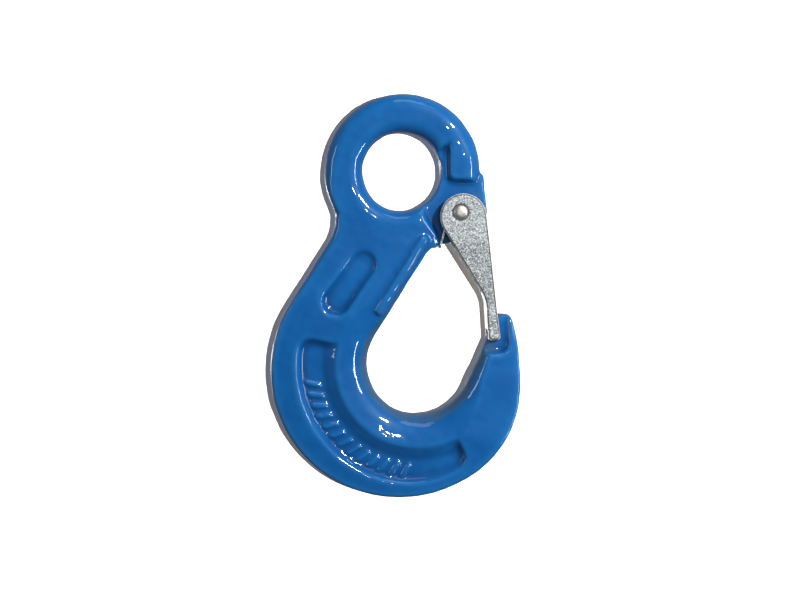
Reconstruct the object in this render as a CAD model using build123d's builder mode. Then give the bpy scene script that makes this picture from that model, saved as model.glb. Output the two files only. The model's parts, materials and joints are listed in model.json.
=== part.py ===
"""Eye sling hook with a sprung latch, in millimetres.

Frame: the origin is the centre of the eye, +Z runs up the line of load, the hook lies
in the X-Z plane with its tip towards +X, and its front face looks towards -Y.
The forging and the latch are symmetric about the parting plane Y = 0, so every shape
is described by its outline in X-Z and by half-thicknesses measured from that plane.
"""

import os
from math import acos, asin, atan2, cos, degrees, hypot, radians, sin

from build123d import *

# ---- eye ----
EYE_HOLE_R = 17.5
EYE_CENTRE = (0.5, 0.0)
EYE_R = 34.5
EYE_HALF = 8.25
EYE_ROUND = 5.75

# ---- outer edge of the hook: circle centres and radii ----
NECK_CENTRE = (-47.7, -21.4)
BACK_CENTRE = (-1.2, -88.7)
BACK_R = 57.2
HEEL_R = 58.7
TOE_R = 45.5
FLANK_R = 90.0
HEEL_FROM = -100.0
TOE_FROM = -49.0
FLANK_FROM = -7.0
OUTER_ROUND = 3.0

# ---- bowl, throat and tip ----
BOWL_CENTRE = (7.65, -85.95)
BOWL_R = 23.4
THROAT_LEAN = 32.0
TIP_LEAN = 24.2
NOSE_TOP = -63.9
NOSE_ROUND = 3.6
NOSE_INNER_ROUND = 1.4
THROAT_TOP_ROUND = 9.0

# ---- half-thicknesses of the forging ----
BODY_HALF = 10.5
FULL_BELOW = -62.0
THIN_ABOVE = -28.0
TIP_SLOPE = 6.6
BACK_LAND = 12.0
BACK_DROP = 1.2

# ---- lug that carries the latch ----
PIN_CENTRE = (26.05, -17.7)
LUG_HALF = 4.8
LUG_R = 12.2
LUG_HEEL = (16.6, -32.65)
LUG_SHOULDER = (36.6, -1.3)
LUG_SHOULDER_ROUND = 1.3
LUG_WALL = 30.0
LUG_TOOL_TOP = 9.7
EYE_BAR_FOOT = (19.9, -4.7)
EYE_BAR_FOOT_ROUND = 3.2
EYE_ARC_FROM = -0.6

# ---- pockets and the raised bar ----
POCKET_FLOOR = 7.3
RECESS_TOP = (-17.0, -40.5)
RECESS_FOOT = (-29.0, -57.0)
RECESS_R = 6.5
RECESS_FLOOR = 7.4
BAR_WIDTH = 4.9
BAR_INSET = 4.25
BAR_FROM = 9.0
BAR_TO = 51.0
BAR_RISE = 1.9
BAR_DRAFT = 6.0
TIP_WEB_HALF = 4.2
TIP_WEB_RIGHT = 47.3
TIP_WEB_FOOT = -79.9
TIP_WEB_ROUND = 3.4
TIP_WEB_WALL = 30.0

# ---- latch ----
HEAD_CENTRE = (27.2, -19.6)
HEAD_R = 10.3
LATCH_END = -75.3
CHEEK_TOP_OUT = 11.2
CHEEK_TOP_IN = 8.9
CHEEK_END_OUT = 7.4
CHEEK_END_IN = 4.9
CHEEK_TAPER_FROM = -31.0
CHEEK_TAPER_TO = -60.0
WEB_THICK = 2.4
WEB_TOP = -29.5
LATCH_EDGE_ROUND = 0.7
STOP_GAP = 0.15

# ---- pin and spring ----
PIN_R = 3.0
PIN_HOLE_R = 3.06
PIN_HEAD_R = 3.4
PIN_HEAD_RISE = 1.7
PIN_CROWN_ROUND = 1.4
PIN_SEAT_R = 3.9
PIN_SEAT_DEPTH = 0.6
WIRE_R = 0.55
COIL_R = 4.3
COIL_PITCH = 1.13
COIL_FULL_TURNS = 2
COIL_SEAT = LUG_HALF + WIRE_R + 0.15
BRIDGE_AT = (17.2, -33.5)
LEG_END = (34.75, -43.0)
LEG_DEPTH = 6.1
LEG_HOOK = 3.5
WIRE_BEND = 0.8

# Height above the parting plane that clears every face of the forging.
ABOVE = 14.0


def on_circle(centre, radius, angle):
    """The point of a circle at an angle in degrees from +X towards +Z."""
    a = radians(angle)
    return (centre[0] + radius * cos(a), centre[1] + radius * sin(a))


def arc_between(centre, radius, first, last):
    """An arc about a centre from one angle to another, as three points on it."""
    middle = (first + last) / 2
    return ThreePointArc(*(on_circle(centre, radius, a) for a in (first, middle, last)))


def angle_of(centre, point):
    return degrees(atan2(point[1] - centre[1], point[0] - centre[0]))


# ---- derived points of the outline ----
NECK_R = hypot(NECK_CENTRE[0] - EYE_CENTRE[0], NECK_CENTRE[1] - EYE_CENTRE[1]) - EYE_R
NECK_ON_EYE = angle_of(EYE_CENTRE, NECK_CENTRE)

_span = hypot(NECK_CENTRE[0] - BACK_CENTRE[0], NECK_CENTRE[1] - BACK_CENTRE[1])
BACK_FROM = angle_of(BACK_CENTRE, NECK_CENTRE) + degrees(acos((BACK_R + NECK_R) / _span))

HEEL_START = on_circle(BACK_CENTRE, BACK_R, HEEL_FROM)
HEEL_CENTRE = on_circle(HEEL_START, HEEL_R, HEEL_FROM + 180)
TOE_START = on_circle(HEEL_CENTRE, HEEL_R, TOE_FROM)
TOE_CENTRE = on_circle(TOE_START, TOE_R, TOE_FROM + 180)
FLANK_START = on_circle(TOE_CENTRE, TOE_R, FLANK_FROM)
FLANK_CENTRE = on_circle(FLANK_START, FLANK_R, FLANK_FROM + 180)
FLANK_TO = degrees(asin((NOSE_TOP - FLANK_CENTRE[1]) / FLANK_R))

THROAT_UP = (sin(radians(THROAT_LEAN)), cos(radians(THROAT_LEAN)))
THROAT_IN = (-THROAT_UP[1], THROAT_UP[0])
THROAT_FOOT = on_circle(BOWL_CENTRE, BOWL_R, 180 - THROAT_LEAN)
TIP_UP = (sin(radians(TIP_LEAN)), cos(radians(TIP_LEAN)))
TIP_FOOT = on_circle(BOWL_CENTRE, BOWL_R, -TIP_LEAN)
TIP_RISE = (NOSE_TOP - TIP_FOOT[1]) / TIP_UP[1]
NOSE_INNER = (TIP_FOOT[0] + TIP_RISE * TIP_UP[0], NOSE_TOP)

_reach = hypot(LUG_HEEL[0] - PIN_CENTRE[0], LUG_HEEL[1] - PIN_CENTRE[1])
LUG_FROM = angle_of(PIN_CENTRE, LUG_HEEL) + degrees(acos(LUG_R / _reach))
LUG_UNDER = on_circle(PIN_CENTRE, LUG_R, LUG_FROM)


def on_throat(along, inward):
    """A point measured up the throat's edge from the bowl, and in from that edge."""
    return tuple(
        THROAT_FOOT[i] + along * THROAT_UP[i] + inward * THROAT_IN[i] for i in (0, 1)
    )


def on_tip(along, inward):
    """A point measured up the tip's inner edge from the bowl, and into the tip."""
    return (
        TIP_FOOT[0] + along * TIP_UP[0] + inward * TIP_UP[1],
        TIP_FOOT[1] + along * TIP_UP[1] - inward * TIP_UP[0],
    )


# The throat's edge and the lug's lower edge meet at this corner before it is rounded.
_slope = (LUG_UNDER[1] - LUG_HEEL[1]) / (LUG_UNDER[0] - LUG_HEEL[0])
_offset = THROAT_FOOT[0] - THROAT_FOOT[1] * THROAT_UP[0] / THROAT_UP[1]
_lean = THROAT_UP[0] / THROAT_UP[1]
_corner_z = (LUG_HEEL[1] + _slope * (_offset - LUG_HEEL[0])) / (1 - _slope * _lean)
THROAT_CORNER = (_offset + _corner_z * _lean, _corner_z)


def nearest(vertices, point):
    return vertices.sort_by_distance((point[0], point[1], 0))[0]


# ---- outline of the forging ----
EYE_END = on_circle(EYE_CENTRE, EYE_R, EYE_ARC_FROM)
LUG_RIGHT = on_circle(PIN_CENTRE, LUG_R, 0.0)
FLANK_END = on_circle(FLANK_CENTRE, FLANK_R, FLANK_TO)

with BuildSketch(Plane.XZ) as silhouette:
    with BuildLine():
        arc_between(EYE_CENTRE, EYE_R, EYE_ARC_FROM, NECK_ON_EYE + 360)
        arc_between(NECK_CENTRE, NECK_R, NECK_ON_EYE + 180, BACK_FROM - 180)
        Line(
            on_circle(NECK_CENTRE, NECK_R, BACK_FROM - 180),
            on_circle(BACK_CENTRE, BACK_R, BACK_FROM),
        )
        arc_between(BACK_CENTRE, BACK_R, BACK_FROM, HEEL_FROM + 360)
        arc_between(HEEL_CENTRE, HEEL_R, HEEL_FROM, TOE_FROM)
        arc_between(TOE_CENTRE, TOE_R, TOE_FROM, FLANK_FROM)
        arc_between(FLANK_CENTRE, FLANK_R, FLANK_FROM, FLANK_TO)
        Line(FLANK_END, NOSE_INNER)
        Line(NOSE_INNER, TIP_FOOT)
        arc_between(BOWL_CENTRE, BOWL_R, -TIP_LEAN, -180 - THROAT_LEAN)
        Line(THROAT_FOOT, THROAT_CORNER)
        Line(THROAT_CORNER, LUG_UNDER)
        arc_between(PIN_CENTRE, LUG_R, LUG_FROM, 0.0)
        Polyline(LUG_RIGHT, LUG_SHOULDER, EYE_END)
    make_face()
    fillet(nearest(silhouette.vertices(), THROAT_CORNER), THROAT_TOP_ROUND)
    fillet(nearest(silhouette.vertices(), LUG_SHOULDER), LUG_SHOULDER_ROUND)
    fillet(nearest(silhouette.vertices(), FLANK_END), NOSE_ROUND)
    fillet(nearest(silhouette.vertices(), NOSE_INNER), NOSE_INNER_ROUND)


def both_faces(shape):
    """A front-face tool together with its mirror image on the back face."""
    return [shape, mirror(shape, about=Plane.XZ)]


def section_plane(point, inward, forward):
    """A cross-section: local x runs into the forging and local y towards the front."""
    return Plane(
        origin=(point[0], 0, point[1]),
        x_dir=(inward[0], 0, inward[1]),
        z_dir=(forward[0], 0, forward[1]),
    )


def across(centre):
    """The axis through a point of the outline, square to the parting plane."""
    return Axis((centre[0], 0, centre[1]), (0, 1, 0))


# ---- tools that shape the inner edge ----
# Each section of the inner edge is the height where the wall stops, the knee where
# its rounding ends, and the crest where the sloping flange reaches the face.
SHANK_TOP_EDGE = ((-0.8, 4.7), (0.4, 5.7), (1.6, 6.1), (12.5, 8.95))
SHANK_FOOT_EDGE = ((-0.8, 4.4), (0.4, 6.0), (1.9, 6.9), (12.5, 11.0))
BOWL_EDGE = ((-0.8, 0.8), (2.5, 6.3), (8.0, 9.3), (14.0, 10.6))
BLEND_STEP = 0.12
THROAT_STATIONS = (
    (57.0, SHANK_TOP_EDGE, 0.0),
    (11.0, SHANK_FOOT_EDGE, 0.0),
    (-0.4, BOWL_EDGE, BLEND_STEP),
)


def edge_region(points, rise=0.0):
    """The border of the region in front of an inner edge's surface, to be cut away."""
    lip, bulge, knee, crest = [(x, y + rise) for x, y in points]
    with BuildLine() as border:
        ThreePointArc(lip, bulge, knee)
        Polyline(knee, crest, (crest[0], ABOVE), (lip[0], ABOVE), lip)
    return border.line


def throat_tool(rise=0.0):
    """The bevel along the throat, running into the bowl's rounding at its foot."""
    with BuildPart() as tool:
        for along, edge, lift in THROAT_STATIONS:
            with BuildSketch(section_plane(on_throat(along, 0), THROAT_IN, THROAT_UP)):
                add(edge_region(edge, rise + lift))
                make_face()
        loft(ruled=True)
    return tool.part


def bowl_tool():
    with BuildPart() as tool:
        edge_point = (BOWL_CENTRE[0] + BOWL_R, BOWL_CENTRE[1])
        with BuildSketch(section_plane(edge_point, (1, 0), (0, -1))):
            add(edge_region(BOWL_EDGE))
            make_face()
        revolve(axis=across(BOWL_CENTRE))
    return tool.part


def tip_inner_tool():
    """The bowl's rounding carried on up the inner edge of the tip."""
    down = (-TIP_UP[0], -TIP_UP[1])
    into = (TIP_UP[1], -TIP_UP[0])
    with BuildPart() as tool:
        with BuildSketch(section_plane(on_tip(TIP_RISE + 3, 0), into, down)):
            add(edge_region(BOWL_EDGE, BLEND_STEP))
            make_face()
        extrude(amount=TIP_RISE + 3.4)
    return tool.part


# ---- tools that shape the faces ----
def back_land_tool():
    """A shallow cone that lets the faces fall away towards the outer edge."""
    inner = BACK_R - BACK_LAND
    beyond = BACK_R + 4
    edge_height = BODY_HALF - BACK_DROP * (beyond - inner) / BACK_LAND
    with BuildPart() as tool:
        with BuildSketch(section_plane(BACK_CENTRE, (1, 0), (0, -1))):
            with BuildLine():
                Polyline(
                    (inner, BODY_HALF),
                    (beyond, edge_height),
                    (beyond, ABOVE),
                    (inner, ABOVE),
                    close=True,
                )
            make_face()
        revolve(axis=across(BACK_CENTRE))
    return tool.part


TIP_THIN_FROM = (20.0, -100.0)
TIP_THIN_HEADING = 29.0
TIP_CUT = 64.0
TIP_CUT_WIDE = 90.0


def tip_tool():
    """A wedge that thins the tip from the bowl's right side up to the nose."""
    onward = on_circle((0, 0), 1, TIP_THIN_HEADING)
    sideways = on_circle((0, 0), 1, TIP_THIN_HEADING - 90)
    start = on_circle(TIP_THIN_FROM, -TIP_CUT_WIDE / 3, TIP_THIN_HEADING - 90)
    end_height = BODY_HALF - TIP_CUT * sin(radians(TIP_SLOPE))
    with BuildPart() as tool:
        with BuildSketch(section_plane(start, onward, sideways)):
            with BuildLine():
                Polyline(
                    (0, BODY_HALF),
                    (TIP_CUT, end_height),
                    (TIP_CUT, ABOVE),
                    (0, ABOVE),
                    close=True,
                )
            make_face()
        extrude(amount=TIP_CUT_WIDE)
    return tool.part


def lug_tool():
    """Everything outside the thin lug: below the end of the eye's bar, right of the neck."""
    with BuildPart() as tool:
        with BuildSketch(Plane.XZ.offset(LUG_HALF)) as zone:
            with BuildLine():
                Polyline(
                    (EYE_BAR_FOOT[0], 10.5),
                    EYE_BAR_FOOT,
                    (33.4, EYE_BAR_FOOT[1]),
                    (34.9, 2.0),
                    (42, 2.0),
                    (42, -44),
                    (15.6, -34.5),
                    (15.9, -27.9),
                    (10.2, -17.2),
                    (9.0, -8.0),
                    (12.0, 6.0),
                    close=True,
                )
            make_face()
            fillet(nearest(zone.vertices(), EYE_BAR_FOOT), EYE_BAR_FOOT_ROUND)
        extrude(amount=LUG_TOOL_TOP - LUG_HALF, taper=-LUG_WALL)
    return tool.part


def recess_tool():
    centre = tuple((a + b) / 2 for a, b in zip(RECESS_TOP, RECESS_FOOT))
    length = hypot(RECESS_TOP[0] - RECESS_FOOT[0], RECESS_TOP[1] - RECESS_FOOT[1])
    lean = angle_of(RECESS_FOOT, RECESS_TOP)
    with BuildPart() as tool:
        for height, grow in ((RECESS_FLOOR, -1.6), (BODY_HALF + 0.5, 0.6)):
            with BuildSketch(Plane.XZ.offset(height)):
                with Locations(centre):
                    SlotCenterToCenter(length, 2 * (RECESS_R + grow), rotation=lean)
        loft(ruled=True)
    return tool.part


# ---- lower pocket, which follows the bowl ----
POCKET_BACK_R = 51.9
POCKET_FROM = 168.5
POCKET_TURN = 247.0
POCKET_LOW_END = (27.6, -129.2)
POCKET_END_HEADING = 118.0
POCKET_END_LENGTH = 16.0
POCKET_INNER_R = 31.0
POCKET_CORNER = 3.2
POCKET_WALL = 42.0
POCKET_FOOT_R = 42.3
POCKET_RIM_R = 36.6


def pocket_outline():
    """The pocket's floor; towards the bowl it runs on past the sloping inner wall."""
    top_back = on_circle(BOWL_CENTRE, POCKET_BACK_R, POCKET_FROM)
    turn = on_circle(BOWL_CENTRE, POCKET_BACK_R, POCKET_TURN)
    heading = on_circle((0, 0), 1, POCKET_TURN + 90)
    low_inner = on_circle(POCKET_LOW_END, POCKET_END_LENGTH, POCKET_END_HEADING)
    inner_to = angle_of(BOWL_CENTRE, low_inner)
    low_inner = on_circle(BOWL_CENTRE, POCKET_INNER_R, inner_to)
    with BuildSketch(Plane.XZ.offset(POCKET_FLOOR)) as floor:
        with BuildLine():
            arc_between(BOWL_CENTRE, POCKET_BACK_R, POCKET_FROM, POCKET_TURN)
            TangentArc(turn, POCKET_LOW_END, tangent=heading)
            Line(POCKET_LOW_END, low_inner)
            arc_between(BOWL_CENTRE, POCKET_INNER_R, inner_to, POCKET_FROM - 360)
            Line(on_circle(BOWL_CENTRE, POCKET_INNER_R, POCKET_FROM), top_back)
        make_face()
        for corner in (top_back, POCKET_LOW_END):
            fillet(nearest(floor.vertices(), corner), POCKET_CORNER)
    return floor.sketch


def pocket_tool():
    """Drafted walls at the back and ends, and a long conical slope towards the bowl."""
    slope = (POCKET_FOOT_R - POCKET_RIM_R) / (BODY_HALF - POCKET_FLOOR)
    top_r = POCKET_FOOT_R - slope * (ABOVE - POCKET_FLOOR)
    with BuildPart() as tool:
        with BuildSketch(section_plane(BOWL_CENTRE, (1, 0), (0, -1))):
            with BuildLine():
                Polyline(
                    (POCKET_FOOT_R, POCKET_FLOOR - 1),
                    (POCKET_FOOT_R, POCKET_FLOOR),
                    (top_r, ABOVE),
                    (POCKET_BACK_R + 12, ABOVE),
                    (POCKET_BACK_R + 12, POCKET_FLOOR - 1),
                    close=True,
                )
            make_face()
        revolve(axis=across(BOWL_CENTRE))
        draw = extrude(
            to_extrude=pocket_outline(),
            amount=ABOVE - POCKET_FLOOR - 1,
            taper=-POCKET_WALL,
            mode=Mode.PRIVATE,
        )
        add(draw, mode=Mode.INTERSECT)
    return tool.part


def tip_recess_tool():
    """The hollow in each flank of the tip that takes the end of the latch."""
    with BuildPart() as tool:
        with BuildSketch(Plane.XZ.offset(TIP_WEB_HALF)) as hollow:
            with BuildLine():
                Polyline(
                    (33, -58),
                    (TIP_WEB_RIGHT, -58),
                    (TIP_WEB_RIGHT, TIP_WEB_FOOT),
                    (33, TIP_WEB_FOOT),
                    close=True,
                )
            make_face()
            fillet(nearest(hollow.vertices(), (TIP_WEB_RIGHT, TIP_WEB_FOOT)), TIP_WEB_ROUND)
        extrude(amount=ABOVE - TIP_WEB_HALF, taper=-TIP_WEB_WALL)
    return tool.part


def bar_blank():
    """The raised bar on the throat's bevel, its top cut parallel to the bevel."""
    middle = on_throat((BAR_FROM + BAR_TO) / 2, BAR_INSET)
    with BuildPart() as bar:
        with BuildSketch(Plane.XZ.offset(LUG_HALF - 1)):
            with Locations(middle):
                SlotOverall(BAR_TO - BAR_FROM, BAR_WIDTH, rotation=90 - THROAT_LEAN)
        extrude(amount=ABOVE - LUG_HALF, taper=BAR_DRAFT)
        add(throat_tool(rise=BAR_RISE), mode=Mode.SUBTRACT)
    return bar.part


# ---- hook body ----
def on_outer_edge(edge):
    """True for a face's edge that lies on the outside of the hook, eye to nose."""
    middle = edge @ 0.5
    x, z = middle.X, middle.Z
    if abs(middle.Y) < TIP_WEB_HALF:
        return False
    on_bowl = hypot(x - BOWL_CENTRE[0], z - BOWL_CENTRE[1]) < BOWL_R + 0.5
    on_lug = -36 < z < -0.3 and x > 5
    from_throat = (x - THROAT_FOOT[0]) * THROAT_IN[0] + (z - THROAT_FOOT[1]) * THROAT_IN[1]
    on_throat_edge = abs(from_throat) < 0.5 and -80 < z < -30
    from_tip = (x - TIP_FOOT[0]) * TIP_UP[1] - (z - TIP_FOOT[1]) * TIP_UP[0]
    on_tip_edge = abs(from_tip) < 0.3 and z < NOSE_TOP - 1 and x > 20
    return not (on_bowl or on_lug or on_throat_edge or on_tip_edge)


def is_wall(face):
    """True for a face that stands square to the parting plane."""
    return abs(face.normal_at(face.center()).Y) < 0.1


def borders_one(edge, walls):
    """True for an edge between a wall and a face, rather than between two walls."""
    return sum(edge.is_same(side) for wall in walls for side in wall.edges()) == 1


def thickness_envelope():
    """A block as thick as the forging at each height."""
    half = [
        (EYE_HALF, 60),
        (EYE_HALF, THIN_ABOVE),
        (BODY_HALF, FULL_BELOW),
        (BODY_HALF, -160),
    ]
    with BuildPart() as block:
        with BuildSketch(Plane.YZ.offset(-80)):
            with BuildLine():
                Polyline(*[(-y, z) for y, z in half], *reversed(half), close=True)
            make_face()
        extrude(amount=160)
    return block.part


with BuildPart() as hook_body:
    extrude(to_extrude=silhouette.sketch, amount=BODY_HALF, both=True)
    add(thickness_envelope(), mode=Mode.INTERSECT)
    body_walls = hook_body.faces().filter_by(is_wall)
    outer_edges = hook_body.edges().filter_by(on_outer_edge)
    fillet(outer_edges.filter_by(lambda edge: borders_one(edge, body_walls)), OUTER_ROUND)
    with BuildSketch(Plane.XZ):
        Circle(EYE_HOLE_R)
    extrude(amount=BODY_HALF, both=True, mode=Mode.SUBTRACT)
    hole_rims = hook_body.edges().filter_by(GeomType.CIRCLE).filter_by(
        lambda edge: abs(edge.radius - EYE_HOLE_R) < 0.01
        and abs((edge @ 0.5).Y) > 5
        and edge.arc_center.Z > -5
    )
    fillet(hole_rims, EYE_ROUND)
    for tool in (
        tip_tool(),
        back_land_tool(),
        bowl_tool(),
        tip_inner_tool(),
        throat_tool(),
        lug_tool(),
        recess_tool(),
        pocket_tool(),
        tip_recess_tool(),
    ):
        add(both_faces(tool), mode=Mode.SUBTRACT)
    add(both_faces(bar_blank()))
    with BuildSketch(Plane.XZ):
        with Locations(PIN_CENTRE):
            Circle(PIN_HOLE_R)
    extrude(amount=BODY_HALF, both=True, mode=Mode.SUBTRACT)


# ---- latch ----
LATCH_RIGHT_END = (44.5, -74.8)
LATCH_LEFT_END = (38.9, LATCH_END)
LATCH_END_ROUND = 1.1
KNEE_FROM = (35.4, -52.6)
KNEE_TO = (38.0, -61.5)
WEB_LEFT_TOP = (34.2, WEB_TOP)
WEB_LEFT_FOOT = (38.6, -71.0)
WEB_REST_FROM = 8.0
WEB_REST_TO = 4.6
CHEEK_HOLE_R = 3.08


def tangent_angle(centre, radius, point, side):
    """Where a line from an outside point touches a circle; side is +1 or -1."""
    distance = hypot(point[0] - centre[0], point[1] - centre[1])
    return angle_of(centre, point) + side * degrees(acos(radius / distance))


def cheek_outline():
    """The latch's side view: round head, kinked inner edge and straight outer edge."""
    head_right = tangent_angle(HEAD_CENTRE, HEAD_R, LATCH_RIGHT_END, 1)
    head_left = tangent_angle(HEAD_CENTRE, HEAD_R, KNEE_FROM, -1)
    leaves_head = on_circle(HEAD_CENTRE, HEAD_R, head_left)
    knee_heading = (KNEE_FROM[0] - leaves_head[0], KNEE_FROM[1] - leaves_head[1])
    joins_head = on_circle(HEAD_CENTRE, HEAD_R, head_right)
    with BuildSketch(Plane.XZ) as cheek:
        with BuildLine():
            arc_between(HEAD_CENTRE, HEAD_R, head_right, head_left + 360)
            Line(leaves_head, KNEE_FROM)
            TangentArc(KNEE_FROM, KNEE_TO, tangent=knee_heading)
            Polyline(KNEE_TO, LATCH_LEFT_END, LATCH_RIGHT_END, joins_head)
        make_face()
        for corner in (LATCH_LEFT_END, LATCH_RIGHT_END):
            fillet(nearest(cheek.vertices(), corner), LATCH_END_ROUND)
    return cheek.sketch


def cheek_envelope(top, end):
    """A block as wide as the given half-widths at the head and at the finger."""
    half = [(top, 20), (top, CHEEK_TAPER_FROM), (end, CHEEK_TAPER_TO), (end, -90)]
    with BuildPart() as block:
        with BuildSketch(Plane.YZ.offset(-20)):
            with BuildLine():
                Polyline(*[(-y, z) for y, z in half], *reversed(half), close=True)
            make_face()
        extrude(amount=100)
    return block.part


def web_block():
    """The wall that joins the cheeks; its foot is bevelled to rest on the nose."""
    gap = (-TIP_UP[1] * STOP_GAP, TIP_UP[0] * STOP_GAP)
    low = on_tip(TIP_RISE - WEB_REST_FROM, 0)
    high = on_tip(TIP_RISE - WEB_REST_TO, 0)
    with BuildPart() as web:
        with BuildSketch(Plane.XZ):
            with BuildLine():
                Polyline(
                    WEB_LEFT_TOP,
                    (WEB_LEFT_TOP[0] + WEB_THICK + 0.3, WEB_TOP),
                    (high[0] + gap[0], high[1] + gap[1]),
                    (low[0] + gap[0], low[1] + gap[1]),
                    WEB_LEFT_FOOT,
                    close=True,
                )
            make_face()
        extrude(amount=CHEEK_TOP_OUT, both=True)
    return web.part


with BuildPart() as latch:
    extrude(to_extrude=cheek_outline(), amount=CHEEK_TOP_OUT, both=True)
    add(cheek_envelope(CHEEK_TOP_OUT, CHEEK_END_OUT), mode=Mode.INTERSECT)
    latch_walls = latch.faces().filter_by(is_wall)
    latch_rims = latch.edges().filter_by(lambda edge: abs((edge @ 0.5).Y) > CHEEK_END_OUT - 0.1)
    fillet(latch_rims.filter_by(lambda edge: borders_one(edge, latch_walls)), LATCH_EDGE_ROUND)
    add(cheek_envelope(CHEEK_TOP_IN, CHEEK_END_IN) - web_block(), mode=Mode.SUBTRACT)
    for radius, height in ((CHEEK_HOLE_R, 0.0), (PIN_SEAT_R, CHEEK_TOP_OUT - PIN_SEAT_DEPTH)):
        for side in (1, -1):
            with BuildSketch(Plane.XZ.offset(side * height)):
                with Locations(PIN_CENTRE):
                    Circle(radius)
            extrude(amount=side * 20, mode=Mode.SUBTRACT)


# ---- latch pin ----
HEAD_SEAT = CHEEK_TOP_OUT - PIN_SEAT_DEPTH + 0.06

with BuildPart() as latch_pin:
    with BuildSketch(Plane.XZ):
        with Locations(PIN_CENTRE):
            Circle(PIN_R)
    extrude(amount=HEAD_SEAT, both=True)
    for side in (1, -1):
        with BuildSketch(Plane.XZ.offset(side * HEAD_SEAT)):
            with Locations(PIN_CENTRE):
                Circle(PIN_HEAD_R)
        extrude(amount=side * PIN_HEAD_RISE)
    crowns = latch_pin.edges().filter_by(
        lambda edge: abs((edge @ 0.5).Y) > HEAD_SEAT + PIN_HEAD_RISE - 0.1
    )
    fillet(crowns, PIN_CROWN_ROUND)


# ---- latch spring ----
# The front half is drawn with local x along +X, local y along +Z and local z to the front.
def spring_leg(foot, depth, reach, coil_point, heading):
    """A leg from its inward-bent end to the coil, where it joins the coil's heading."""
    corner = Vector(foot[0], foot[1], depth)
    flat = Vector(coil_point.X - foot[0], coil_point.Y - foot[1], 0).normalized()
    bend_low = corner - Vector(0, 0, WIRE_BEND)
    bend_high = corner + flat * WIRE_BEND
    Line((foot[0], foot[1], reach), bend_low)
    TangentArc(bend_low, bend_high, tangent=(0, 0, 1))
    Spline(bend_high, coil_point, tangents=(flat, heading))


coil_first = tangent_angle(PIN_CENTRE, COIL_R, BRIDGE_AT, -1) + 360
coil_last = tangent_angle(PIN_CENTRE, COIL_R, LEG_END, 1)
coil_turns = (coil_first - coil_last) / 360 + COIL_FULL_TURNS
coil_place = Pos(PIN_CENTRE[0], PIN_CENTRE[1], COIL_SEAT) * Rot(0, 0, coil_first)
coil = coil_place * Helix(COIL_PITCH, COIL_PITCH * coil_turns, COIL_R, lefthand=True)

with BuildPart() as latch_spring:
    with BuildLine() as wire:
        spring_leg(BRIDGE_AT, COIL_SEAT, 0.0, coil @ 0, coil % 0)
        add(coil)
        spring_leg(LEG_END, LEG_DEPTH, LEG_DEPTH - LEG_HOOK, coil @ 1, -(coil % 1))
    path = Plane.XZ * Wire(wire.edges())
    with BuildSketch(Plane(origin=path @ 0, z_dir=path % 0)):
        Circle(WIRE_R)
    sweep(path=path)
    mirror(about=Plane.XZ)


# ---- write the pieces ----
os.makedirs("parts", exist_ok=True)
for name, piece in (
    ("hook_body", hook_body.part),
    ("latch", latch.part),
    ("latch_pin", latch_pin.part),
    ("latch_spring", latch_spring.part),
):
    piece.label = name
    export_step(piece, f"parts/{name}.step")
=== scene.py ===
"""Looks of the eye sling hook with a sprung latch: forged and enamelled body, zinc-plated
latch, domed pin and wire spring, on a plain pale ground.

Lengths inside the modelling code are in millimetres and become metres when a mesh is made.
"""

import json

import bpy
import numpy as np
import openvdb
from math import ceil, cos, pi, radians, sin
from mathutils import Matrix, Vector

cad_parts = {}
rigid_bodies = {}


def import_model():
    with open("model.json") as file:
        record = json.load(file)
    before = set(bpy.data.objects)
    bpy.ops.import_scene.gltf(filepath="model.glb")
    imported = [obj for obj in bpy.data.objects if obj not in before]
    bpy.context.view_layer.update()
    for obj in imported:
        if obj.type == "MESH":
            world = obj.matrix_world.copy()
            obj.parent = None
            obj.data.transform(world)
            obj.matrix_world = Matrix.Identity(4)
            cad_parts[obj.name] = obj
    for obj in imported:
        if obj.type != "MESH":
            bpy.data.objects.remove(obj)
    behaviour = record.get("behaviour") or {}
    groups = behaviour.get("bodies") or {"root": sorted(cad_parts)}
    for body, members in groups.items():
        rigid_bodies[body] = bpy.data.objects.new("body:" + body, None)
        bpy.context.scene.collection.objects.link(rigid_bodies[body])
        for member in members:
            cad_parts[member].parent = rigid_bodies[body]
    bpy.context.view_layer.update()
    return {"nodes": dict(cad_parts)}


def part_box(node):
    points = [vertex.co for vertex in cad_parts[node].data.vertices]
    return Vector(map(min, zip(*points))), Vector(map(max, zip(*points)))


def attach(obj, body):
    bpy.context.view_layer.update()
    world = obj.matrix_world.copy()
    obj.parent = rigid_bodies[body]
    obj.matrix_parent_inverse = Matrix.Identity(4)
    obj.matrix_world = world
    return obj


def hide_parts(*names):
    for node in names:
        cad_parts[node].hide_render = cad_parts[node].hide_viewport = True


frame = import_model()

MM = 0.001


# ---- places taken from the frame, in millimetres ----
def node_box(node):
    """The lowest and highest corner of a CAD node, in millimetres."""
    low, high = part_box(node)
    return np.array(low) / MM, np.array(high) / MM


HOOK_LOW, HOOK_HIGH = node_box("hook_body")
PIN_LOW, PIN_HIGH = node_box("latch_pin")
PIN_X = (PIN_LOW[0] + PIN_HIGH[0]) / 2
PIN_Z = (PIN_LOW[2] + PIN_HIGH[2]) / 2
BOWL_X, BOWL_Z = 7.65, -85.95


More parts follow.
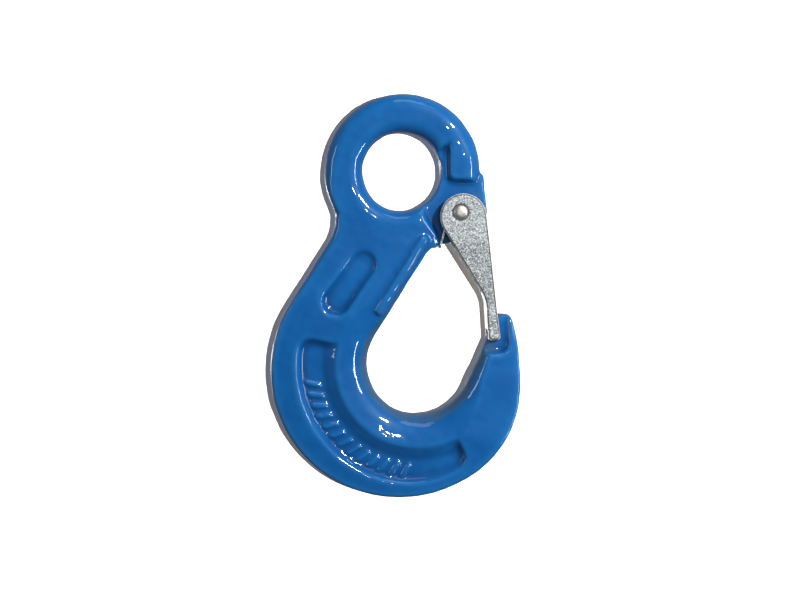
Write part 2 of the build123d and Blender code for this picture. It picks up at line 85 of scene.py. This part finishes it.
# ---- signed distance fields ----
class Field:
    """Signed distances on a grid, in millimetres: negative inside the metal."""

    def __init__(self, node, voxel, band):
        mesh = frame["nodes"][node].data
        points = np.empty(len(mesh.vertices) * 3, np.float32)
        mesh.vertices.foreach_get("co", points)
        mesh.calc_loop_triangles()
        corners = np.empty(len(mesh.loop_triangles) * 3, np.int32)
        mesh.loop_triangles.foreach_get("vertices", corners)
        grid = openvdb.FloatGrid.createLevelSetFromPolygons(
            points.reshape(-1, 3) / MM,
            triangles=corners.reshape(-1, 3).astype(np.uint32),
            transform=openvdb.createLinearTransform(voxelSize=voxel),
            halfWidth=band / voxel,
        )
        low, high = grid.evalActiveVoxelBoundingBox()
        self.voxel = voxel
        self.low = np.array(low) - 2
        self.values = np.empty(np.array(high) - self.low + 3, np.float32)
        grid.copyToArray(self.values, ijk=tuple(int(i) for i in self.low))

    def axes(self):
        """X, Y and Z of the grid's points, shaped to combine with the values."""
        x, y, z = [
            (self.low[i] + np.arange(self.values.shape[i])) * self.voxel for i in range(3)
        ]
        return (
            x[:, None, None].astype(np.float32),
            y[None, :, None].astype(np.float32),
            z[None, None, :].astype(np.float32),
        )

    def sample(self, points):
        """The values at points given in millimetres, mixed from the eight grid points around."""
        place = points / self.voxel - self.low
        first = np.clip(np.floor(place).astype(int), 0, np.array(self.values.shape) - 2)
        part = place - first
        total = np.zeros(len(points))
        for corner in np.ndindex(2, 2, 2):
            weight = np.prod(np.where(corner, part, 1 - part), axis=1)
            i, j, k = (first + corner).T
            total += weight * self.values[i, j, k]
        return total

    def surface(self):
        """Vertices, in millimetres, and quads of the surface at zero."""
        grid = openvdb.FloatGrid(background=float(self.values.max()))
        grid.transform = openvdb.createLinearTransform(voxelSize=self.voxel)
        grid.copyFromArray(self.values, ijk=tuple(int(i) for i in self.low))
        return grid.convertToQuads(isovalue=0.0)


BLUR_REACH = 2.6


def soften(values, width):
    """A gaussian blur, its width given in grid steps."""
    reach = ceil(BLUR_REACH * width)
    weights = np.exp(-0.5 * (np.arange(-reach, reach + 1) / width) ** 2)
    weights = (weights / weights.sum()).astype(np.float32)
    for axis in range(3):
        padding = [(0, 0)] * 3
        padding[axis] = (reach, reach)
        padded = np.pad(values, padding, mode="edge")
        count = values.shape[axis]
        total = np.zeros_like(values)
        for i, weight in enumerate(weights):
            piece = [slice(None)] * 3
            piece[axis] = slice(i, i + count)
            total += weight * padded[tuple(piece)]
        values = total
    return values


def smooth_union(a, b, blend):
    """Two bodies joined with a fillet about as wide as blend."""
    h = np.clip(0.5 + 0.5 * (b - a) / blend, 0, 1)
    return b + (a - b) * h - blend * h * (1 - h)


def step_between(values, first, last):
    """0 at first, 1 at last, smooth between."""
    t = np.clip((values - first) / (last - first), 0, 1)
    return t * t * (3 - 2 * t)


def waves(x, y, z, length, seed, count=9):
    """A sum of sine waves in random directions, about one unit high."""
    draw = np.random.default_rng(seed)
    total = 0
    for _ in range(count):
        heading = draw.normal(size=3)
        heading *= 2 * pi / length * draw.uniform(0.7, 1.4) / np.linalg.norm(heading)
        phase = draw.uniform(0, 2 * pi)
        total = total + np.sin(heading[0] * x + heading[1] * y + heading[2] * z + phase)
    return total / count**0.5


# ---- making objects ----
def mesh_object(name, points, faces):
    """A smooth-shaded object from points in millimetres and faces of one size."""
    mesh = bpy.data.meshes.new(name)
    faces = np.asarray(faces)
    width = faces.shape[1]
    mesh.vertices.add(len(points))
    mesh.vertices.foreach_set("co", (np.asarray(points) * MM).astype(np.float32).ravel())
    mesh.loops.add(faces.size)
    mesh.loops.foreach_set("vertex_index", faces.astype(np.int32).ravel())
    mesh.polygons.add(len(faces))
    mesh.polygons.foreach_set("loop_start", np.arange(0, faces.size, width, dtype=np.int32))
    mesh.update(calc_edges=True)
    mesh.polygons.foreach_set("use_smooth", np.full(len(faces), True))
    mesh.validate()
    piece = bpy.data.objects.new(name, mesh)
    bpy.context.scene.collection.objects.link(piece)
    return piece


def set_attribute(piece, name, values):
    attribute = piece.data.attributes.new(name, "FLOAT", "POINT")
    attribute.data.foreach_set("value", np.asarray(values, np.float32))


RELAX_ROUNDS = 3
RELAX_STEPS = (0.5, -0.52)


def relax(points, quads):
    """Evens out grid steps: each vertex moves towards its neighbours, then out again."""
    pairs = np.concatenate([quads[:, [i, (i + 1) % 4]] for i in range(4)])
    pairs = np.concatenate([pairs, pairs[:, ::-1]])
    count = np.bincount(pairs[:, 0], minlength=len(points))[:, None]
    for factor in RELAX_STEPS * RELAX_ROUNDS:
        total = np.stack(
            [np.bincount(pairs[:, 0], points[pairs[:, 1], i], len(points)) for i in range(3)], axis=1
        )
        points = points + factor * (total / np.maximum(count, 1) - points)
    return points


# ---- the forging ----
HOOK_VOXEL = 0.66
HOOK_BAND = 4.0
EDGE_SOFTNESS = 0.5
MARK_SOFTNESS = 0.3
EYE_R = 34.5
EYE_X = 0.5
EYE_HALF = 8.25
EYE_CORNER = 6.4
EYE_FADE_FOOT = (-9.5, -8.5)
EYE_FADE_NECK = (165, 215)
EYE_FADE_DEPTH = 1.6
LUG_HALF = 4.8
LUG_FROM_X = 25
LUG_TOP_Z = 0.5
POCKET_FLOOR = 7.3
FLASH_RISE = 0.28
FLASH_VARIES = 0.1
FLASH_WANDER = 0.35
FLASH_WIDTH = 0.9
SKIN_LONG = 0.11
SKIN_SHORT = 0.035
SHARPNESS_WIDTH = 2.2
PAINTED_WALL_HALF = 6.7
PAINTED_WALL_R = 32.0
PAINTED_WALL_FADE = 6
MARK_RISE = 0.95
MARK_ROOT = 2
MARK_FILLET = 0.6
MARK_REACH = 6
MARK_ARC_R = 48.0
MARK_COUNT = 13
MARK_SLANT = 0.4
MARK_LENGTH = 4.6
MARK_HALF_WIDTH = 1.0
MARK_FROM = radians(-170)
MARK_TO = radians(-97)


def round_eye(values, x, y, z):
    """Rounds the outer edge of the eye's bar, fading out into the neck."""
    out = np.hypot(x - EYE_X, z) - (EYE_R - EYE_CORNER)
    up = np.abs(y) - (EYE_HALF - EYE_CORNER)
    bar = np.hypot(np.maximum(out, 0), np.maximum(up, 0)) + np.minimum(np.maximum(out, up), 0)
    bar = bar - EYE_CORNER
    lug = (x > LUG_FROM_X) & (z < LUG_TOP_Z)
    bar = np.where(lug, np.minimum(bar, np.abs(y) - LUG_HALF), bar)
    turn = np.degrees(np.arctan2(z, x - EYE_X))
    angle = np.where(turn < -100, turn + 360, turn)
    shown = step_between(angle, *EYE_FADE_FOOT) * (1 - step_between(angle, *EYE_FADE_NECK))
    fade = (1 - shown) * EYE_FADE_DEPTH
    return np.where((out > -2) & (shown > 0.001), np.maximum(values, bar - fade), values)


def raised_marks(values, x, y, z):
    """A border of identical, slanted raised ribs on the floor of the lower pocket."""
    along = np.arctan2(z - BOWL_Z, x - BOWL_X)
    radius = np.hypot(x - BOWL_X, z - BOWL_Z)
    top = np.abs(y) - (POCKET_FLOOR + MARK_RISE)
    for i in range(MARK_COUNT):
        angle = MARK_FROM + (MARK_TO - MARK_FROM) * i / (MARK_COUNT - 1)
        v = radius - MARK_ARC_R
        u = (along - angle) * MARK_ARC_R + MARK_SLANT * v
        reach = np.maximum(np.abs(v) - MARK_LENGTH / 2, 0)
        rib = np.hypot(u, reach) - MARK_HALF_WIDTH
        solid = np.maximum(np.maximum(rib, top), POCKET_FLOOR - MARK_ROOT - np.abs(y))
        near = (np.abs(u) < MARK_REACH) & (np.abs(v) < MARK_REACH + 1)
        values = np.where(near, smooth_union(values, solid, MARK_FILLET), values)
    return values


def painted_wall_reflection(points):
    """1 on the steep inner wall of the bowl, where a dull grey-blue reflection of the pale ground and
    some shade are painted into the enamel.
    """
    x, y, z = points.T
    wall = 1 - step_between(np.abs(y), PAINTED_WALL_HALF - 0.7, PAINTED_WALL_HALF + 0.5)
    near = 1 - step_between(np.hypot(x - BOWL_X, z - BOWL_Z), PAINTED_WALL_R, PAINTED_WALL_R + PAINTED_WALL_FADE)
    return wall * near


def forging():
    """The hook's body: softened edges, ribs, a flash line and a hammered skin."""
    field = Field("hook_body", HOOK_VOXEL, HOOK_BAND)
    x, y, z = field.axes()
    values = round_eye(field.values, x, y, z)
    values = soften(values, EDGE_SOFTNESS / HOOK_VOXEL)
    values = raised_marks(values, x, y, z)
    values = soften(values, MARK_SOFTNESS / HOOK_VOXEL)

    # A trimmed flash line wanders along the parting plane.
    flash = FLASH_RISE + FLASH_VARIES * waves(x, 0 * y, z, 9.0, 5)
    wander = FLASH_WANDER * waves(x, 0 * y, z, 14.0, 8)
    values = values - flash * np.exp(-(((y - wander) / FLASH_WIDTH) ** 2))

    # Hammered and scaled skin: long, shallow waves and short, finer ones.
    skin = SKIN_LONG * waves(x, y, z, 17.0, 1) + SKIN_SHORT * waves(x, y, z, 6.5, 2)
    values = values + skin
    field.values = values.astype(np.float32)
    points, quads = field.surface()
    points = relax(points.astype(np.float64), quads)
    piece = mesh_object("forging", points, quads)

    # Above zero on ridges and below zero in hollows; the enamel paints highlights and shade from it.
    broad = soften(field.values, SHARPNESS_WIDTH / HOOK_VOXEL)
    field.values = broad - values
    set_attribute(piece, "edge", field.sample(points))
    # The seat attribute carries the painted grey-blue reflection and painted shade of the bowl's steep
    # inner wall.
    set_attribute(piece, "seat", painted_wall_reflection(points))
    return piece


# ---- the latch ----
LATCH_VOXEL = 0.25
LATCH_BAND = 1.5
LATCH_SOFTNESS = 0.3
LATCH_WAVES = 0.02
RIM_WIDTH = 0.9


def latch_plate():
    """The folded latch, with the distance in from its outline kept as "inset"."""
    field = Field("latch", LATCH_VOXEL, LATCH_BAND)
    x, y, z = field.axes()
    values = soften(field.values, LATCH_SOFTNESS / LATCH_VOXEL)
    values = values + LATCH_WAVES * waves(x, y, z, 8.0, 3)
    field.values = values.astype(np.float32)
    points, quads = field.surface()
    points = relax(points.astype(np.float64), quads)
    piece = mesh_object("latch_plate", points, quads)
    # inset drives the zinc's painted rim highlight and painted dark reflection line.
    inside = (field.values.min(axis=1, keepdims=True) < 0).astype(np.float32)
    field.values = soften(np.repeat(inside, 3, axis=1), RIM_WIDTH / LATCH_VOXEL)
    flat = points.copy()
    flat[:, 1] = (field.low[1] + 1) * LATCH_VOXEL
    set_attribute(piece, "inset", field.sample(flat))
    return piece


# ---- the pin ----
PIN_R = 3.0
PIN_HEAD_R = (PIN_HIGH[0] - PIN_LOW[0]) / 2
PIN_HEAD_RISE = 1.7
PIN_NECK = 0.15
PIN_LIP = 0.35
PIN_SIDES = 96
PIN_DOME_STEPS = 24


def lathe(name, profile, sides):
    """Turns a profile of (radius, y) about the pin's axis."""
    profile = np.array(profile)
    angle = np.arange(sides) * 2 * pi / sides
    ring_x = PIN_X + profile[:, 0][:, None] * np.cos(angle)
    ring_z = PIN_Z + profile[:, 0][:, None] * np.sin(angle)
    ring_y = np.repeat(profile[:, 1][:, None], sides, axis=1)
    points = np.stack([ring_x, ring_y, ring_z], axis=-1).reshape(-1, 3)
    i, j = np.meshgrid(np.arange(len(profile) - 1), np.arange(sides), indexing="ij")
    a = (i * sides + j).ravel()
    b = (i * sides + (j + 1) % sides).ravel()
    quads = np.stack([a, b, b + sides, a + sides], axis=1)
    return mesh_object(name, points, quads)


def pin():
    """Shaft and two peened, domed heads."""
    top = PIN_HIGH[1]
    seat = top - PIN_HEAD_RISE
    dome = []
    for i in range(PIN_DOME_STEPS + 1):
        t = i / PIN_DOME_STEPS * pi / 2
        radius = max(PIN_HEAD_R * cos(t) ** 0.62, 0.02)
        dome.append((radius, seat + PIN_LIP + (PIN_HEAD_RISE - PIN_LIP) * sin(t) ** 1.15))
    head = [
        (PIN_R, 0.0),
        (PIN_R, seat - PIN_NECK),
        (PIN_R + PIN_NECK, seat),
        (PIN_HEAD_R - 0.12, seat + 0.02),
        (PIN_HEAD_R, seat + 0.2),
    ]
    half = head + dome
    back = [(r, -y) for r, y in half[:0:-1]]
    return lathe("pin_domed", back + half, PIN_SIDES)


# ---- the spring ----
WIRE_R = 0.55
COIL_R = 4.3
COIL_PITCH = 1.13
COIL_TURNS = 2
COIL_SEAT = 5.5
BRIDGE_X, BRIDGE_Z = 17.2, -33.5
LEG_X, LEG_Z = 34.75, -43.0
LEG_DEPTH = 6.1
LEG_HOOK = 3.5
WIRE_BEND = 0.9
WIRE_SIDES = 20
COIL_STEPS = 110


def tube(name, path, radius):
    """A round wire along a path of points."""
    path = np.array(path)
    ahead = np.gradient(path, axis=0)
    ahead /= np.linalg.norm(ahead, axis=1)[:, None]
    side = np.cross(ahead[0], (0.3, 0.9, 0.2))
    side /= np.linalg.norm(side)
    angle = np.arange(WIRE_SIDES) * 2 * pi / WIRE_SIDES
    rings = []
    for point, forward in zip(path, ahead):
        side = side - forward * np.dot(side, forward)
        side /= np.linalg.norm(side)
        up = np.cross(forward, side)
        rings.append(point + radius * (np.cos(angle)[:, None] * side + np.sin(angle)[:, None] * up))
    points = np.concatenate(rings)
    i, j = np.meshgrid(np.arange(len(path) - 1), np.arange(WIRE_SIDES), indexing="ij")
    a = (i * WIRE_SIDES + j).ravel()
    b = (i * WIRE_SIDES + (j + 1) % WIRE_SIDES).ravel()
    quads = np.stack([a, b, b + WIRE_SIDES, a + WIRE_SIDES], axis=1)
    return mesh_object(name, points, quads)


def touch_angle(point_x, point_z, side):
    """Where a line from a point outside the coil touches it, in radians."""
    away = np.hypot(point_x - PIN_X, point_z - PIN_Z)
    return np.arctan2(point_z - PIN_Z, point_x - PIN_X) + side * np.arccos(COIL_R / away)


def coil_point(angle, depth):
    """A point on the coil's cylinder."""
    return (PIN_X + COIL_R * cos(angle), depth, PIN_Z + COIL_R * sin(angle))


FIRST = touch_angle(BRIDGE_X, BRIDGE_Z, -1) + 2 * pi
LAST = touch_angle(LEG_X, LEG_Z, 1)
SWEEP = FIRST - LAST + 2 * pi * COIL_TURNS
COIL_WIDTH = COIL_PITCH * SWEEP / (2 * pi)


def bent_leg(foot, depth, reach, coil_end, steps=14):
    """A leg's points from its inward-bent end to the coil."""
    foot_x, foot_z = foot
    end = np.array(coil_end)
    corner = np.array((foot_x, depth, foot_z))
    flat = end - corner
    flat[1] = 0
    flat /= np.linalg.norm(flat)
    points = [(foot_x, y, foot_z) for y in np.linspace(reach, depth - WIRE_BEND, 8)[:-1]]
    centre = corner + flat * WIRE_BEND - np.array((0, WIRE_BEND, 0))
    for i in range(9):
        t = pi / 2 * i / 8
        points.append(tuple(centre - flat * WIRE_BEND * cos(t) + np.array((0, WIRE_BEND * sin(t), 0))))
    start = corner + flat * WIRE_BEND
    for i in range(1, steps):
        t = i / steps
        ease = t * t * (3 - 2 * t)
        point = start + (end - start) * t
        point[1] = start[1] + (end[1] - start[1]) * ease
        points.append(tuple(point))
    return points


def mirrored(points):
    """The same points on the other side of the parting plane."""
    return [(x, -y, z) for x, y, z in points]


def spring_coils():
    """Bridge, inner legs and coils, in one length of wire."""
    inner = bent_leg((BRIDGE_X, BRIDGE_Z), COIL_SEAT, 0.0, coil_point(FIRST, COIL_SEAT))
    coil = []
    for i in range(COIL_STEPS + 1):
        part = i / COIL_STEPS
        coil.append(coil_point(FIRST - SWEEP * part, COIL_SEAT + COIL_WIDTH * part))
    half = inner + coil
    return tube("spring_coils", mirrored(half[:0:-1]) + half, WIRE_R)


def spring_leg(name, side):
    """The leg that runs from a coil to the latch's web."""
    end = coil_point(LAST, COIL_SEAT + COIL_WIDTH)
    points = bent_leg((LEG_X, LEG_Z), LEG_DEPTH, LEG_DEPTH - LEG_HOOK, end) + [end]
    points = [(x, side * y, z) for x, y, z in points]
    return tube(name, points, WIRE_R * 0.995)


# ---- materials ----
class Nodes:
    """A short way to write a material's node tree."""

    def __init__(self, name):
        self.material = bpy.data.materials.new(name)
        self.material.use_nodes = True
        self.tree = self.material.node_tree
        self.shader = self.tree.nodes["Principled BSDF"]
        self.place = self.add("ShaderNodeTexCoord").outputs["Object"]

    def add(self, kind, **inputs):
        node = self.tree.nodes.new(kind)
        for name, value in inputs.items():
            socket = node.inputs[name.replace("_", " ")]
            if hasattr(value, "is_output"):
                self.tree.links.new(value, socket)
            else:
                socket.default_value = value
        return node

    def link(self, output, name):
        self.tree.links.new(output, self.shader.inputs[name])

    def noise(self, size_mm, detail=2.0, roughness=0.5):
        node = self.add("ShaderNodeTexNoise", Vector=self.place, Scale=1 / (size_mm * MM))
        node.inputs["Detail"].default_value = detail
        node.inputs["Roughness"].default_value = roughness
        return node.outputs["Fac"]

    def remap(self, value, low, high, to_low, to_high):
        node = self.add("ShaderNodeMapRange", Value=value)
        node.inputs["From Min"].default_value = low
        node.inputs["From Max"].default_value = high
        node.inputs["To Min"].default_value = to_low
        node.inputs["To Max"].default_value = to_high
        return node.outputs["Result"]

    def maths(self, kind, a, b):
        node = self.add("ShaderNodeMath")
        node.operation = kind
        for socket, value in zip(node.inputs, (a, b)):
            if hasattr(value, "is_output"):
                self.tree.links.new(value, socket)
            else:
                socket.default_value = value
        return node.outputs[0]

    def mix(self, factor, a, b):
        node = self.add("ShaderNodeMix")
        node.data_type = "RGBA"
        for index, value in ((0, factor), (6, a), (7, b)):
            socket = node.inputs[index]
            if hasattr(value, "is_output"):
                self.tree.links.new(value, socket)
            else:
                socket.default_value = value
        return node.outputs[2]

    def attribute(self, name):
        node = self.add("ShaderNodeAttribute")
        node.attribute_name = name
        return node.outputs["Fac"]

    def bump(self, height, distance_mm, strength=1.0, normal=None):
        node = self.add("ShaderNodeBump", Height=height, Distance=distance_mm * MM, Strength=strength)
        if normal is not None:
            self.tree.links.new(normal, node.inputs["Normal"])
        return node.outputs["Normal"]

    def settings(self, **values):
        for name, value in values.items():
            self.shader.inputs[name.replace("_", " ")].default_value = value


def srgb(red, green, blue):
    """A colour given as 0-255 screen values, made linear."""
    channels = []
    for value in (red, green, blue):
        v = value / 255
        channels.append(v / 12.92 if v <= 0.04045 else ((v + 0.055) / 1.055) ** 2.4)
    return (*channels, 1.0)


def enamel():
    """Thick, glossy blue stoved enamel, with a painted highlight on sharp edges and painted shade in
    hollows.
    """
    nodes = Nodes("enamel")
    edge = nodes.attribute("edge")
    cloud = nodes.noise(14, 3)
    base = nodes.mix(nodes.remap(cloud, 0.35, 0.65, 0.0, 1.0), srgb(4, 83, 148), srgb(6, 91, 158))
    # Painted highlight: ridges lighter.
    base = nodes.mix(nodes.remap(edge, 0.12, 0.55, 0.0, 0.55), base, srgb(26, 106, 170))
    # Painted shade: hollows and creases darker.
    base = nodes.mix(nodes.remap(edge, -0.08, -0.5, 0.0, 0.6), base, srgb(1, 56, 108))
    # Painted reflection and painted shade: the bowl's steep inner wall turns a dull grey-blue, broken
    # into patches.
    reflection_patches = nodes.remap(nodes.noise(6, 4), 0.3, 0.7, 0.55, 0.95)
    seat = nodes.maths("MULTIPLY", nodes.attribute("seat"), reflection_patches)
    base = nodes.mix(seat, base, srgb(56, 86, 112))
    nodes.link(base, "Base Color")
    nodes.link(nodes.remap(nodes.noise(5, 4), 0.3, 0.7, 0.36, 0.46), "Roughness")
    peel = nodes.bump(nodes.noise(1.3, 1.0), 0.013)
    ripple = nodes.bump(nodes.noise(4.5, 2.0), 0.05, 1.0, peel)
    nodes.link(ripple, "Normal")
    nodes.link(ripple, "Coat Normal")
    nodes.settings(Coat_Weight=1.0, Coat_Roughness=0.04, Coat_IOR=1.5, Specular_IOR_Level=0.1)
    return nodes.material


def zinc():
    """Bright zinc plating over sheet steel, with a fine sparkling grain."""
    nodes = Nodes("zinc")
    inset = nodes.attribute("inset")
    grain = nodes.add("ShaderNodeTexVoronoi", Vector=nodes.place, Scale=1 / (0.5 * MM))
    tone = nodes.add("ShaderNodeSeparateColor", Color=grain.outputs["Color"])
    base = nodes.mix(tone.outputs[0], srgb(112, 121, 124), srgb(206, 214, 217))
    speck = nodes.remap(nodes.noise(0.8, 3, 0.7), 0.52, 0.62, 0.0, 0.85)
    base = nodes.mix(speck, base, srgb(64, 74, 80))
    glint = nodes.remap(nodes.noise(0.7, 3, 0.7), 0.57, 0.63, 0.0, 1.0)
    base = nodes.mix(glint, base, srgb(255, 255, 255))
    # Painted highlight: a near-white band along the rim.
    base = nodes.mix(nodes.remap(inset, 0.62, 0.68, 0.45, 0.0), base, srgb(232, 232, 230))
    # Painted reflection: a thin dark line where the rim's rounding meets the flat face.
    dark_reflection_in = nodes.remap(inset, 0.64, 0.7, 0.0, 0.9)
    dark_reflection_out = nodes.remap(inset, 0.78, 0.85, 1.0, 0.0)
    base = nodes.mix(nodes.maths("MULTIPLY", dark_reflection_in, dark_reflection_out), base, srgb(66, 54, 44))
    nodes.link(base, "Base Color")
    nodes.link(nodes.remap(tone.outputs[1], 0.0, 1.0, 0.4, 0.65), "Roughness")
    facet = nodes.bump(tone.outputs[2], 0.16)
    pits = nodes.bump(nodes.noise(0.9, 4, 0.7), 0.3, 1.0, facet)
    nodes.link(pits, "Normal")
    nodes.settings(Metallic=0.4)
    return nodes.material


def pin_steel():
    """Plated steel, dulled where it was peened."""
    nodes = Nodes("pin_steel")
    nodes.link(nodes.mix(nodes.noise(1.6, 3), srgb(168, 166, 160), srgb(214, 214, 212)), "Base Color")
    nodes.link(nodes.remap(nodes.noise(0.9, 3), 0.3, 0.7, 0.34, 0.5), "Roughness")
    nodes.link(nodes.bump(nodes.noise(1.2, 2), 0.05), "Normal")
    nodes.settings(Metallic=1.0)
    return nodes.material


def spring_steel():
    """Bright drawn wire."""
    nodes = Nodes("spring_steel")
    nodes.link(nodes.mix(nodes.noise(1.2, 3), srgb(200, 202, 204), srgb(236, 238, 240)), "Base Color")
    nodes.link(nodes.remap(nodes.noise(0.7, 2), 0.3, 0.7, 0.22, 0.38), "Roughness")
    nodes.link(nodes.bump(nodes.noise(0.35, 2), 0.02), "Normal")
    nodes.settings(Metallic=1.0)
    return nodes.material


MIRRORED_TABLE = (0.24, 0.22, 0.2)
UNDERSIDE_GAP = 0.007


def backdrop_white(radius):
    """White paper that is seen only from its front and fades out towards its rim.

    Steep walls mirror it as a dull grey; the underside's reflections pass through it.
    """
    nodes = Nodes("backdrop_white")
    tree = nodes.tree
    nodes.settings(Base_Color=srgb(206, 197, 188), Roughness=0.9, Emission_Strength=0.095)
    nodes.shader.inputs["Emission Color"].default_value = (1.0, 0.93, 0.87, 1)
    away = nodes.add("ShaderNodeVectorMath", Vector=nodes.place)
    away.operation = "LENGTH"
    fade = nodes.remap(away.outputs["Value"], radius * 0.6, radius * 0.98, 0.0, 1.0)
    back = nodes.add("ShaderNodeNewGeometry").outputs["Backfacing"]
    clear = nodes.add("ShaderNodeBsdfTransparent")
    dull = nodes.add("ShaderNodeEmission", Color=(*MIRRORED_TABLE, 1))
    path = nodes.add("ShaderNodeLightPath")
    close = nodes.maths("LESS_THAN", path.outputs["Ray Length"], UNDERSIDE_GAP)
    under = nodes.maths("MULTIPLY", close, path.outputs["Is Glossy Ray"])
    hidden = nodes.maths("MAXIMUM", nodes.maths("MAXIMUM", fade, back), under)
    paper = nodes.add("ShaderNodeMixShader", Fac=path.outputs["Is Glossy Ray"])
    tree.links.new(nodes.shader.outputs[0], paper.inputs[1])
    tree.links.new(dull.outputs[0], paper.inputs[2])
    mix = nodes.add("ShaderNodeMixShader", Fac=hidden)
    tree.links.new(paper.outputs[0], mix.inputs[1])
    tree.links.new(clear.outputs[0], mix.inputs[2])
    tree.links.new(mix.outputs[0], tree.nodes["Material Output"].inputs["Surface"])
    return nodes.material


def floor_white():
    """Pale floor, bright enough by itself to look even."""
    nodes = Nodes("floor_white")
    nodes.link(nodes.mix(nodes.noise(60, 2), srgb(150, 151, 152), srgb(154, 155, 156)), "Base Color")
    nodes.shader.inputs["Emission Color"].default_value = (0.94, 0.95, 0.96, 1)
    nodes.settings(Roughness=0.85, Emission_Strength=0.62)
    return nodes.material


# ---- pieces on their bodies ----
def add_piece(piece, material, body, node):
    piece.data.materials.append(material)
    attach(piece, body)
    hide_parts(node)


spring_material = spring_steel()
add_piece(forging(), enamel(), "hook", "hook_body")
add_piece(latch_plate(), zinc(), "latch", "latch")
add_piece(pin(), pin_steel(), "hook", "latch_pin")
add_piece(spring_coils(), spring_material, "hook", "latch_spring")
for leg_name, leg_side in (("spring_leg_front", -1), ("spring_leg_back", 1)):
    add_piece(spring_leg(leg_name, leg_side), spring_material, "latch", "latch_spring")


# ---- stage: backdrop, floor, lights and camera ----
BACKDROP_R = 0.42
FLOOR_R = 6.0
VIEW_WIDTH = 0.36
MIDDLE = Vector((-0.45, 0.0, -57.4)) * MM
BACKDROP_GAP = 0.5
FLOOR_DROP = 66.0
ROOM_LIGHT = 0.1


def disc(name, radius, centre, facing, sides=96):
    """A flat disc, facing along a direction."""
    turn = Vector(facing).to_track_quat("Z", "Y").to_matrix().to_4x4()
    rim = [(radius * cos(2 * pi * i / sides), radius * sin(2 * pi * i / sides), 0) for i in range(sides)]
    mesh = bpy.data.meshes.new(name)
    mesh.from_pydata(rim, [], [list(range(sides))])
    piece = bpy.data.objects.new(name, mesh)
    piece.matrix_world = turn
    piece.location = centre
    bpy.context.scene.collection.objects.link(piece)
    return piece


def stage():
    """The sheet behind the hook and the floor under it; returns the sheet."""
    place = (MIDDLE.x, (HOOK_HIGH[1] + BACKDROP_GAP) * MM, MIDDLE.z)
    backdrop = disc("backdrop", BACKDROP_R, place, (0, -1, 0))
    backdrop.data.materials.append(backdrop_white(BACKDROP_R))
    for ray in ("visible_diffuse", "visible_transmission", "visible_shadow"):
        setattr(backdrop, ray, False)
    floor = disc("floor", FLOOR_R, (0, 0, (HOOK_LOW[2] - FLOOR_DROP) * MM), (0, 0, 1))
    floor.data.materials.append(floor_white())
    floor.visible_glossy = False
    floor.visible_diffuse = False
    return backdrop


def softbox(name, place, size, power):
    """A rectangular lamp aimed at the middle of the hook."""
    light = bpy.data.lights.new(name, "AREA")
    light.shape = "RECTANGLE"
    light.size, light.size_y = size
    light.energy = power
    lamp = bpy.data.objects.new(name, light)
    lamp.location = place
    lamp.visible_camera = False
    lamp.rotation_euler = (MIDDLE - Vector(place)).to_track_quat("-Z", "Y").to_euler()
    bpy.context.scene.collection.objects.link(lamp)
    return lamp


def studio(backdrop):
    """Softboxes for the object, and a lamp near the camera that alone lights the backdrop."""
    lamps = [
        softbox("key", (0.5, -0.8, 0.42), (0.11, 0.11), 11.5),
        softbox("lamp", (0.155, -0.877, 0.07), (0.03, 0.03), 0.8),
        softbox("window", (0.75, -0.6, -0.15), (0.06, 0.7), 4.5),
        softbox("top", (0.1, -0.45, 0.8), (0.5, 0.3), 0.8),
        softbox("left", (-0.9, -0.5, 0.1), (0.1, 0.6), 1.1),
        softbox("behind", (0.2, 1.4, 0.35), (2.2, 2.2), 22),
        softbox("behind_low", (-0.6, 0.75, -0.14), (0.12, 0.12), 9),
    ]
    lit = bpy.data.collections.new("lit_by_softboxes")
    for piece in bpy.context.scene.objects:
        if piece.type == "MESH" and piece.name != backdrop.name:
            lit.objects.link(piece)
    for lamp in lamps:
        lamp.light_linking.receiver_collection = lit
    ground = bpy.data.collections.new("lit_by_ground_lamp")
    ground.objects.link(backdrop)
    lamp = softbox("ground", (0.15, -1.1, 0.03), (0.02, 0.02), 40)
    lamp.light_linking.receiver_collection = ground

    world = bpy.data.worlds.new("studio")
    world.use_nodes = True
    tree = world.node_tree
    room = tree.nodes["Background"]
    room.inputs["Color"].default_value = (1.0, 0.97, 0.94, 1)
    room.inputs["Strength"].default_value = ROOM_LIGHT
    seen = tree.nodes.new("ShaderNodeBackground")
    seen.inputs["Color"].default_value = (0.94, 0.95, 0.96, 1)
    path = tree.nodes.new("ShaderNodeLightPath")
    mix = tree.nodes.new("ShaderNodeMixShader")
    tree.links.new(path.outputs["Is Camera Ray"], mix.inputs["Fac"])
    tree.links.new(room.outputs[0], mix.inputs[1])
    tree.links.new(seen.outputs[0], mix.inputs[2])
    tree.links.new(mix.outputs[0], tree.nodes["World Output"].inputs["Surface"])
    bpy.context.scene.world = world


def camera():
    """In front of the object, level with its eye and a little to the left."""
    lens = bpy.data.cameras.new("camera")
    eye = bpy.data.objects.new("camera", lens)
    eye.location = Vector((-22.0, -680.0, 2.0)) * MM
    ahead = MIDDLE - eye.location
    lens.lens = lens.sensor_width * ahead.length / VIEW_WIDTH
    lens.clip_start = 0.01
    eye.rotation_euler = ahead.to_track_quat("-Z", "Y").to_euler()
    bpy.context.scene.collection.objects.link(eye)
    bpy.context.scene.camera = eye


studio(stage())
camera()
bpy.context.scene.view_settings.view_transform = "Standard"
